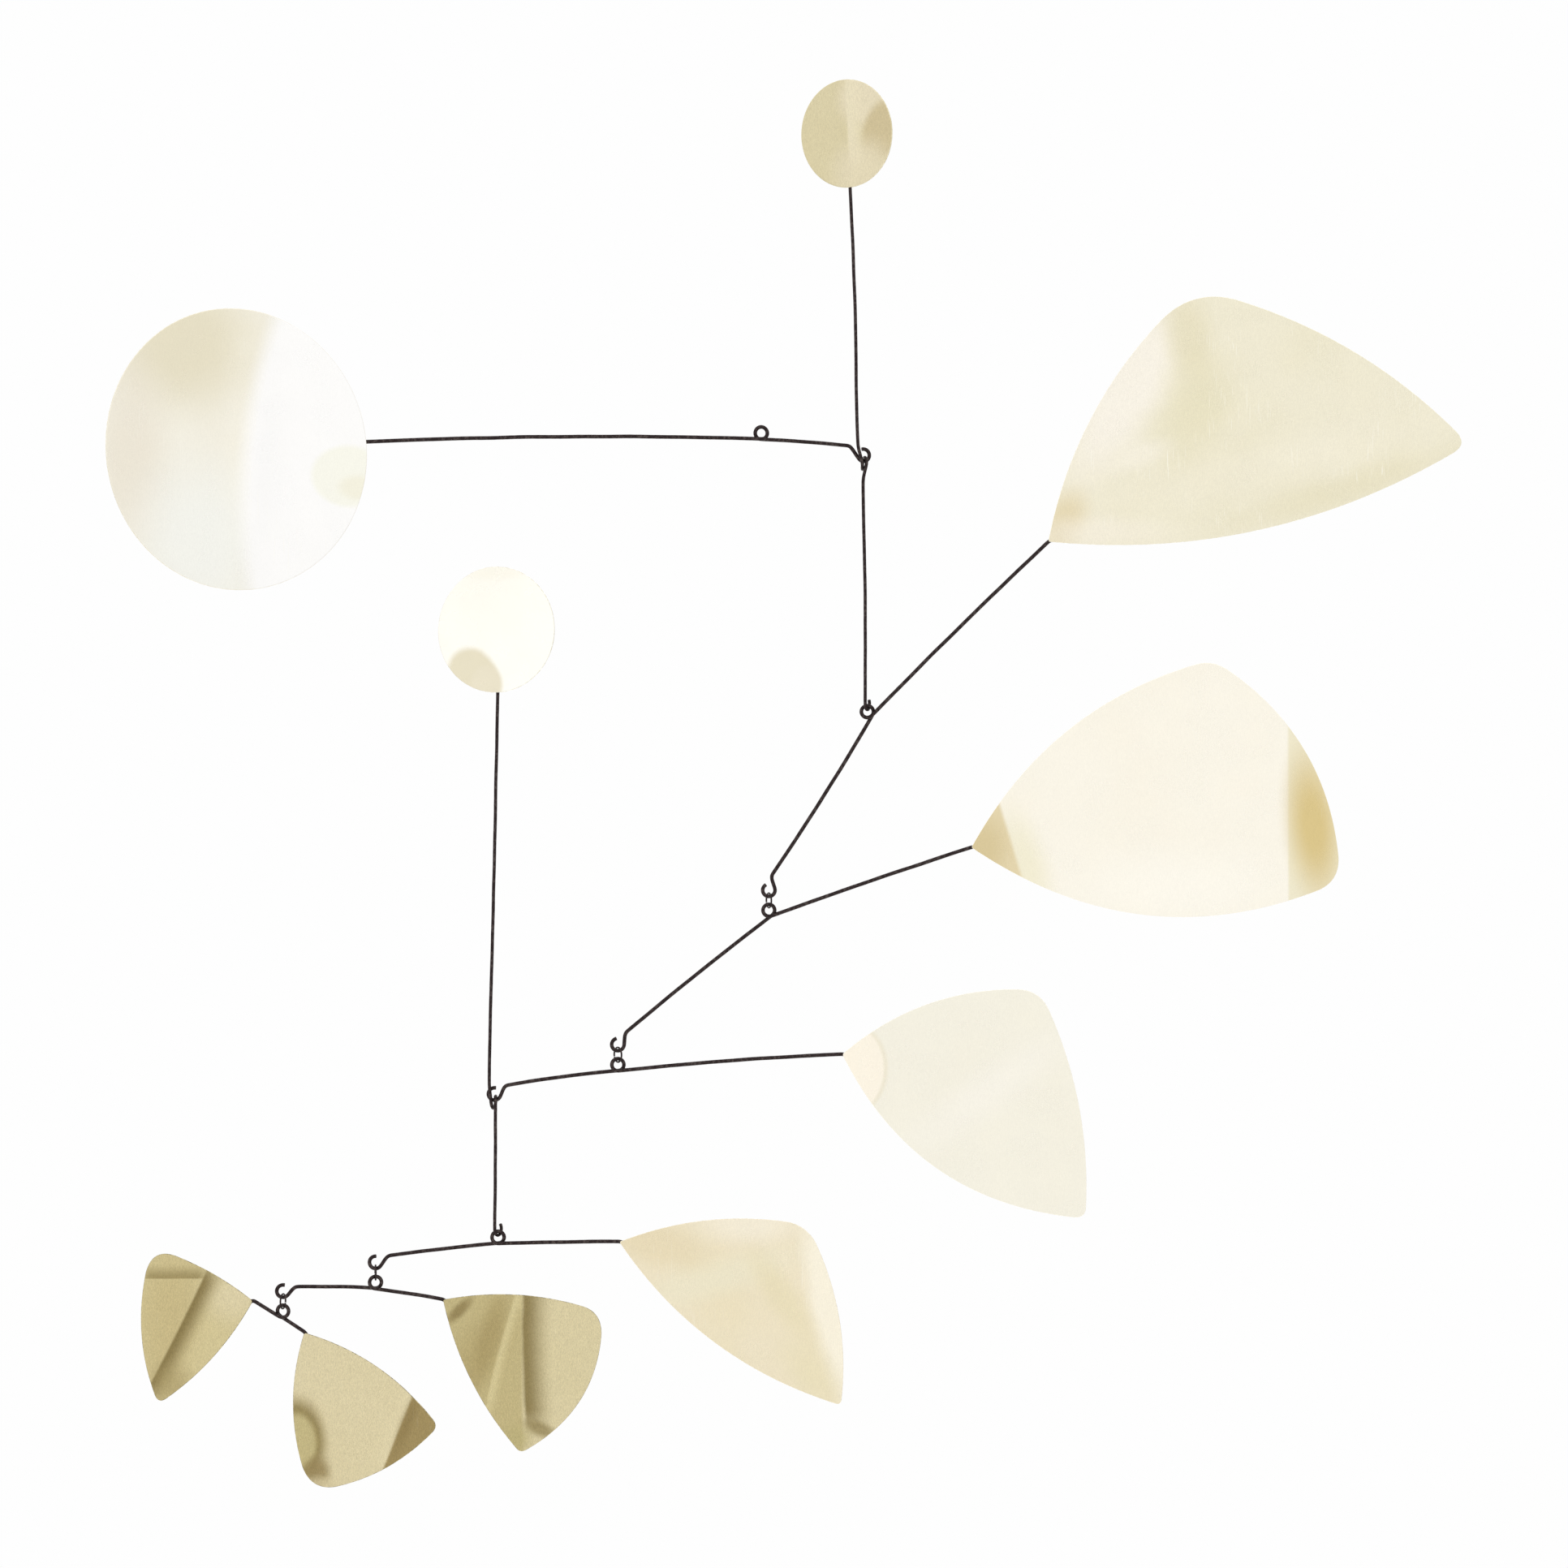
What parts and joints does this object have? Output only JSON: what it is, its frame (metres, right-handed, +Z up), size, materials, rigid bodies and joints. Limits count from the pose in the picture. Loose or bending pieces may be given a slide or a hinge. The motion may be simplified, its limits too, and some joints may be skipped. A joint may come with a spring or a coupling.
{
  "type": "hanging mobile sculpture",
  "caption": "Tiered hanging mobile: thin brass leaves and discs balanced on bent dark wire arms and upright masts, each tier hung by an eye on the hook above it.",
  "frame": {"origin": "centre of the hanging eye in the top arm, from which the whole mobile hangs", "axes": "+Z up, +X to the right when the plates face the viewer, +Y to the back; the plates' faces look towards -Y, and the height is the longest extent and the depth the shortest"},
  "size_m": [0.5835, 0.1698, 0.6223],
  "materials": {
    "pale_brass": "satin",
    "deep_brass": "satin",
    "blackened_wire": "semi-gloss black patina"
  },
  "bodies": {
    "top_arm": {"top_arm_wire": "blackened_wire", "large_disc": "pale_brass"},
    "upper_mast": {"upper_mast_wire": "blackened_wire", "upper_small_disc": "pale_brass"},
    "arm_1": {"arm_1_wire": "blackened_wire", "leaf_1": "pale_brass", "link_1": "blackened_wire"},
    "arm_2": {"arm_2_wire": "blackened_wire", "leaf_2": "pale_brass", "link_2": "blackened_wire"},
    "arm_3": {"arm_3_wire": "blackened_wire", "leaf_3": "pale_brass"},
    "lower_mast": {"lower_mast_wire": "blackened_wire", "lower_small_disc": "pale_brass"},
    "arm_4": {"arm_4_wire": "blackened_wire", "leaf_4": "pale_brass", "link_3": "blackened_wire"},
    "arm_5": {"arm_5_wire": "blackened_wire", "leaf_5": "deep_brass", "link_4": "blackened_wire"},
    "bottom_arm": {"bottom_arm_wire": "blackened_wire", "leaf_6": "deep_brass", "leaf_7": "deep_brass"}
  },
  "joints": [
    {"name": "upper_mast_swivel", "type": "hinge", "parent": "top_arm", "child": "upper_mast", "pos_m": [0.04528, 0.01738, -0.0121], "axis": [0, 0, 1], "range_deg": [-15, 30]},
    {"name": "arm_1_swivel", "type": "hinge", "parent": "upper_mast", "child": "arm_1", "pos_m": [0.04696, 0.01762, -0.1222], "axis": [0, 0, 1], "range_deg": [-45, 5]},
    {"name": "arm_2_swivel", "type": "hinge", "parent": "arm_1", "child": "arm_2", "pos_m": [0.00327, 0.02067, -0.2104], "axis": [0, 0, 1], "range_deg": [-35, 45]},
    {"name": "arm_3_swivel", "type": "hinge", "parent": "arm_2", "child": "arm_3", "pos_m": [-0.06358, 0.01482, -0.2786], "axis": [0, 0, 1], "range_deg": [-20, 45]},
    {"name": "lower_mast_swivel", "type": "hinge", "parent": "arm_3", "child": "lower_mast", "pos_m": [-0.1184, 0.0177, -0.2954], "axis": [0, 0, 1], "range_deg": [-25, 20]},
    {"name": "arm_4_swivel", "type": "hinge", "parent": "lower_mast", "child": "arm_4", "pos_m": [-0.11682, 0.01748, -0.3553], "axis": [0, 0, 1], "range_deg": [-45, 10]},
    {"name": "arm_5_swivel", "type": "hinge", "parent": "arm_4", "child": "arm_5", "pos_m": [-0.17171, 0.02325, -0.376], "axis": [0, 0, 1], "range_deg": [-45, 45]},
    {"name": "bottom_arm_swivel", "type": "hinge", "parent": "arm_5", "child": "bottom_arm", "pos_m": [-0.21239, 0.01897, -0.3883], "axis": [0, 0, 1], "range_deg": [-45, 45]}
  ]
}
